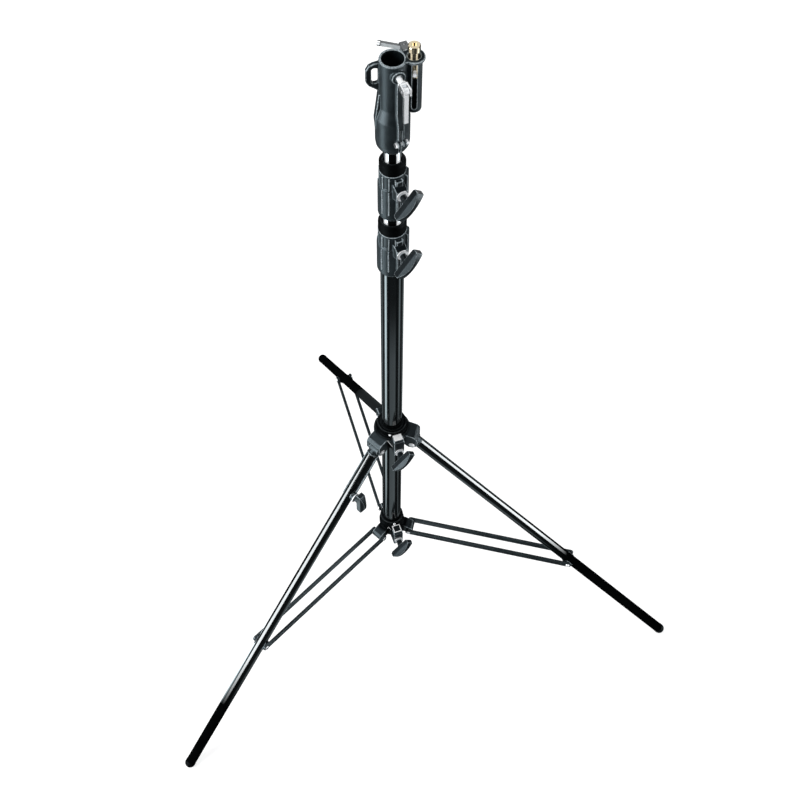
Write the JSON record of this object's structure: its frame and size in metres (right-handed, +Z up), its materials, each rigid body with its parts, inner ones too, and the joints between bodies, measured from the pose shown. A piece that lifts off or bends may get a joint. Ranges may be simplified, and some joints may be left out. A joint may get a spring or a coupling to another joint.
{
  "type": "tripod lighting stand",
  "caption": "Tall three-section lighting stand on a folding tripod base with a levelling leg; clamp knobs lock the sliding column, and the head holds a lamp by socket or stud.",
  "frame": {"origin": "on the floor, on the axis of the column", "axes": "+Z up along the column, +X to the right of the side the clamp knobs face, -Y towards that side"},
  "size_m": [0.954, 0.968, 1.432],
  "materials": {
    "black_gloss": "gloss black powder coat",
    "black_casting": "satin black painted casting",
    "black_plastic": "satin moulded plastic",
    "cap_plastic": "smooth black plastic",
    "chrome": "polished",
    "plated_steel": "bright zinc plate",
    "brass": "polished, lightly aged",
    "silver_label": "blank brushed plate",
    "dark_label": "blank dark plate",
    "black_steel": "satin black flat bar",
    "foot_rubber": "smooth moulded rubber",
    "liner_plastic": "low-friction liner"
  },
  "bodies": {
    "lower_collar": {"lower_collar": "black_casting", "lower_collar_bush": "liner_plastic", "lower_collar_plate": "dark_label", "lower_pivot_pins": "plated_steel"},
    "lower_collar_knob": {"lower_collar_knob": "black_plastic", "lower_collar_knob_screw": "plated_steel"},
    "base_column": {"base_tube": "black_gloss", "base_plug": "liner_plastic", "lower_lock_casting": "black_casting", "lower_lock_liner": "liner_plastic", "lower_lock_cap": "cap_plastic"},
    "lower_lock_knob": {"lower_lock_knob": "black_plastic", "lower_lock_knob_screw": "plated_steel"},
    "mid_riser": {"mid_riser_tube": "chrome", "mid_riser_guide": "liner_plastic", "upper_lock_casting": "black_casting", "upper_lock_liner": "liner_plastic", "upper_lock_cap": "cap_plastic"},
    "upper_lock_knob": {"upper_lock_knob": "black_plastic", "upper_lock_knob_screw": "plated_steel"},
    "top_riser": {"top_riser_tube": "chrome", "top_riser_guide": "liner_plastic", "head_casting": "black_casting", "head_pinch_bolt": "plated_steel"},
    "stud": {"stud": "brass", "stud_stop_screw": "plated_steel"},
    "socket_screw": {"socket_screw": "plated_steel"},
    "socket_lever": {"socket_lever": "plated_steel"},
    "stud_screw": {"stud_screw": "plated_steel"},
    "stud_lever": {"stud_lever": "plated_steel"},
    "upper_collar": {"upper_collar": "black_casting", "upper_collar_bush": "liner_plastic", "upper_collar_plate": "silver_label", "upper_pivot_pins": "plated_steel"},
    "upper_collar_knob": {"upper_collar_knob": "black_plastic", "upper_collar_knob_screw": "plated_steel"},
    "right_leg": {"right_leg_tube": "black_gloss", "right_leg_eye": "black_casting", "right_leg_saddle": "black_casting", "right_foot": "foot_rubber"},
    "rear_leg": {"rear_leg_tube": "black_gloss", "rear_leg_eye": "black_casting", "rear_leg_saddle": "black_casting", "rear_foot": "foot_rubber"},
    "levelling_bracket": {"levelling_bracket": "black_casting", "levelling_leg_saddle": "black_casting"},
    "levelling_leg": {"levelling_leg_tube": "black_gloss", "levelling_foot": "foot_rubber"},
    "levelling_knob": {"levelling_knob": "black_plastic", "levelling_knob_screw": "plated_steel"},
    "right_brace": {"right_brace": "black_steel", "right_brace_rivets": "plated_steel"},
    "rear_brace": {"rear_brace": "black_steel", "rear_brace_rivets": "plated_steel"},
    "levelling_brace": {"levelling_brace": "black_steel", "levelling_brace_rivets": "plated_steel"}
  },
  "joints": [
    {"name": "column_height", "type": "slide", "parent": "lower_collar", "child": "base_column", "axis": [0, 0, 1], "range_m": [-0.2, 0]},
    {"name": "lower_riser_slide", "type": "slide", "parent": "base_column", "child": "mid_riser", "axis": [0, 0, 1], "range_m": [0, 0.73]},
    {"name": "upper_riser_slide", "type": "slide", "parent": "mid_riser", "child": "top_riser", "axis": [0, 0, 1], "range_m": [0, 0.82]},
    {"name": "collar_fold", "type": "slide", "parent": "lower_collar", "child": "upper_collar", "axis": [0, 0, 1], "range_m": [0, 0.42]},
    {"name": "levelling_leg_fold", "type": "hinge", "parent": "upper_collar", "child": "levelling_bracket", "pos_m": [-0.02714, -0.0287, 0.555], "axis": [0.7266, -0.6871, 0], "range_deg": [0, 34.84]},
    {"name": "levelling_brace_fold", "type": "hinge", "parent": "lower_collar", "child": "levelling_brace", "pos_m": [-0.02542, -0.02688, 0.225], "axis": [-0.7266, 0.6871, 0], "range_deg": [0, 75.68]},
    {"name": "right_leg_fold", "type": "hinge", "parent": "upper_collar", "child": "right_leg", "pos_m": [0.03843, -0.00915, 0.555], "axis": [0.2317, 0.9728, 0], "range_deg": [0, 34.84]},
    {"name": "right_brace_fold", "type": "hinge", "parent": "lower_collar", "child": "right_brace", "pos_m": [0.03599, -0.00857, 0.225], "axis": [-0.2317, -0.9728, 0], "range_deg": [0, 75.68]},
    {"name": "rear_leg_fold", "type": "hinge", "parent": "upper_collar", "child": "rear_leg", "pos_m": [-0.01128, 0.03785, 0.555], "axis": [-0.9583, -0.2857, 0], "range_deg": [0, 34.84]},
    {"name": "rear_brace_fold", "type": "hinge", "parent": "lower_collar", "child": "rear_brace", "pos_m": [-0.01057, 0.03546, 0.225], "axis": [0.9583, 0.2857, 0], "range_deg": [0, 75.68]},
    {"name": "levelling_slide", "type": "slide", "parent": "levelling_bracket", "child": "levelling_leg", "axis": [-0.4756, -0.5029, -0.7218], "range_m": [0, 0.05]},
    {"name": "lower_collar_clamp", "type": "hinge", "parent": "lower_collar", "child": "lower_collar_knob", "pos_m": [0.01367, -0.03971, 0.225], "axis": [0.3256, -0.9455, 0], "range_deg": [0, 270]},
    {"name": "upper_collar_clamp", "type": "hinge", "parent": "upper_collar", "child": "upper_collar_knob", "pos_m": [0.01319, -0.03829, 0.555], "axis": [0.3256, -0.9455, 0], "range_deg": [0, 270]},
    {"name": "lower_lock_clamp", "type": "hinge", "parent": "base_column", "child": "lower_lock_knob", "pos_m": [0.0142, -0.02912, 1.08], "axis": [0.4384, -0.8988, 0], "range_deg": [0, 270]},
    {"name": "upper_lock_clamp", "type": "hinge", "parent": "mid_riser", "child": "upper_lock_knob", "pos_m": [0.01333, -0.02732, 1.2], "axis": [0.4384, -0.8988, 0], "range_deg": [0, 270]},
    {"name": "levelling_clamp", "type": "hinge", "parent": "levelling_bracket", "child": "levelling_knob", "pos_m": [-0.06452, -0.08861, 0.48282], "axis": [0.7266, -0.6871, 0], "range_deg": [0, 270]},
    {"name": "socket_clamp", "type": "hinge", "parent": "top_riser", "child": "socket_screw", "pos_m": [0.01246, -0.03163, 1.4], "axis": [0.3665, -0.9304, 0], "range_deg": [-100, 100]},
    {"name": "socket_lever_swing", "type": "hinge", "parent": "socket_screw", "child": "socket_lever", "pos_m": [0.01613, -0.04094, 1.4], "axis": [-0.9304, -0.3665, 0], "range_deg": [0, 90]},
    {"name": "stud_clamp", "type": "hinge", "parent": "top_riser", "child": "stud_screw", "pos_m": [0.0173, 0.02697, 1.399], "axis": [-0.3584, 0.9336, 0], "range_deg": [-90, 90]},
    {"name": "stud_lever_swing", "type": "hinge", "parent": "stud_screw", "child": "stud_lever", "pos_m": [0.01372, 0.03631, 1.399], "axis": [0, 0, 1], "range_deg": [-110, 0]},
    {"name": "stud_slide", "type": "slide", "parent": "top_riser", "child": "stud", "axis": [0, 0, 1], "range_m": [-0.045, 0]}
  ],
  "couplings": [
    {"joint": "levelling_leg_fold", "follows": "collar_fold", "rad_per_m": 1.4477},
    {"joint": "levelling_brace_fold", "follows": "collar_fold", "rad_per_m": 3.1451},
    {"joint": "right_leg_fold", "follows": "collar_fold", "rad_per_m": 1.4477},
    {"joint": "right_brace_fold", "follows": "collar_fold", "rad_per_m": 3.1451},
    {"joint": "rear_leg_fold", "follows": "collar_fold", "rad_per_m": 1.4477},
    {"joint": "rear_brace_fold", "follows": "collar_fold", "rad_per_m": 3.1451}
  ]
}
